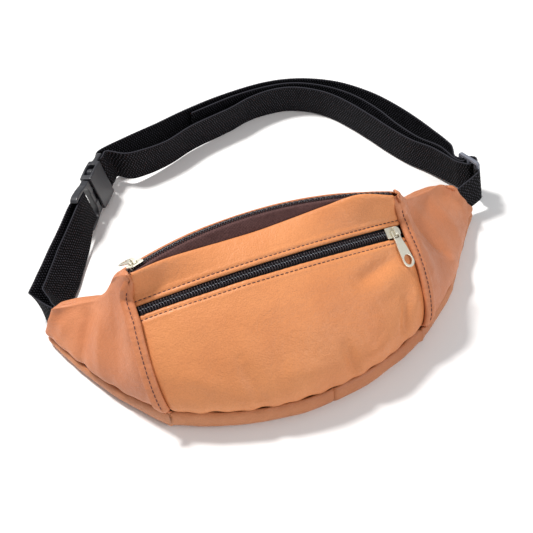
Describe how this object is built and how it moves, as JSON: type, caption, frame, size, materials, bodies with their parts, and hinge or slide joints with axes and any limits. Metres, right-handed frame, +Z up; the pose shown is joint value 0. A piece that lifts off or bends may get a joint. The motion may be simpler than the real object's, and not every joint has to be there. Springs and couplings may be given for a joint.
{
  "type": "waist pack",
  "caption": "Soft leather belt bag standing on its wide base, with coil zips on top and front, side wings, and a webbing belt with a side-release buckle and a strap adjuster.",
  "frame": {"origin": "on the flat base, midway between the two side seams of the pouch", "axes": "+X along the pouch towards the strap adjuster, +Y to the back where the belt loop lies, +Z up"},
  "size_m": [0.3952, 0.3317, 0.1056],
  "materials": {
    "leather_tan": "smooth, softly grained tan leather with a low sheen",
    "lining_fabric": "thin woven pocket lining",
    "tape_black": "woven zip tape, matt",
    "tape_brown": "woven dark brown zip tape, matt",
    "coil_black": "nylon zip coil, slightly shiny",
    "nickel": "warm nickel plating, polished",
    "plastic_black": "moulded dark grey plastic, fine matt texture",
    "webbing_black": "ribbed black belt webbing"
  },
  "bodies": {
    "pouch": {"back_panel": "leather_tan", "front_panel_lower": "leather_tan", "front_panel_upper": "leather_tan", "wing_left": "leather_tan", "wing_right": "leather_tan", "gusset_left": "leather_tan", "gusset_right": "leather_tan", "pocket_lining": "lining_fabric", "seam_welt_left": "leather_tan", "seam_welt_right": "leather_tan", "front_zip_tape_low": "tape_black", "front_zip_tape_high": "tape_black", "front_zip_coil_low": "coil_black", "front_zip_coil_high": "coil_black", "main_zip_tape_low": "tape_brown", "main_zip_tape_high": "tape_brown", "main_zip_coil_low": "coil_black", "main_zip_coil_high": "coil_black", "buckle_female": "plastic_black", "strap_adjuster": "plastic_black", "strap_left": "webbing_black", "strap_belt": "webbing_black"},
    "front_slider": {"front_zip_slider": "nickel", "front_zip_slider_bridge": "nickel"},
    "front_puller": {"front_zip_puller": "nickel"},
    "main_slider": {"main_zip_slider": "nickel", "main_zip_slider_bridge": "nickel"},
    "main_puller": {"main_zip_puller": "nickel"},
    "buckle_plug": {"buckle_male": "plastic_black"},
    "arm_upper": {"buckle_arm_upper": "plastic_black"},
    "arm_lower": {"buckle_arm_lower": "plastic_black"}
  },
  "joints": [
    {"name": "front_slider_travel", "type": "hinge", "parent": "pouch", "child": "front_slider", "pos_m": [0, 0.21018, -0.30378], "axis": [0, 0.9104, 0.4138], "range_deg": [-25.2, 0]},
    {"name": "front_puller_swing", "type": "hinge", "parent": "front_slider", "child": "front_puller", "pos_m": [0.09456, 0.03513, 0.08132], "axis": [0.9611, 0.247, -0.1237], "range_deg": [-140, 0]},
    {"name": "main_slider_travel", "type": "hinge", "parent": "pouch", "child": "main_slider", "pos_m": [0, -0.24231, 0.01503], "axis": [0, -0.2615, 0.9652], "range_deg": [-33.8, 0]},
    {"name": "main_puller_swing", "type": "hinge", "parent": "main_slider", "child": "main_puller", "pos_m": [-0.09588, 0.06143, 0.10072], "axis": [0.9568, 0.2806, 0.076], "range_deg": [0, 165]},
    {"name": "buckle_release", "type": "slide", "parent": "pouch", "child": "buckle_plug", "axis": [-0.5736, -0.8192, 0], "range_m": [0, 0.034], "deforming": ["strap_left", "buckle_arm_upper", "buckle_arm_lower"]},
    {"name": "arm_upper_squeeze", "type": "hinge", "parent": "buckle_plug", "child": "arm_upper", "pos_m": [-0.0967, 0.21636, 0.02682], "axis": [-0.7912, 0.554, -0.2588], "range_deg": [0, 17], "stiffness_Nm_per_rad": 0.05},
    {"name": "arm_lower_squeeze", "type": "hinge", "parent": "buckle_plug", "child": "arm_lower", "pos_m": [-0.09381, 0.21434, 0.01368], "axis": [-0.7912, 0.554, -0.2588], "range_deg": [-17, 0], "stiffness_Nm_per_rad": 0.05}
  ],
  "couplings": [
    {"joint": "arm_lower_squeeze", "follows": "arm_upper_squeeze", "ratio": -1}
  ]
}
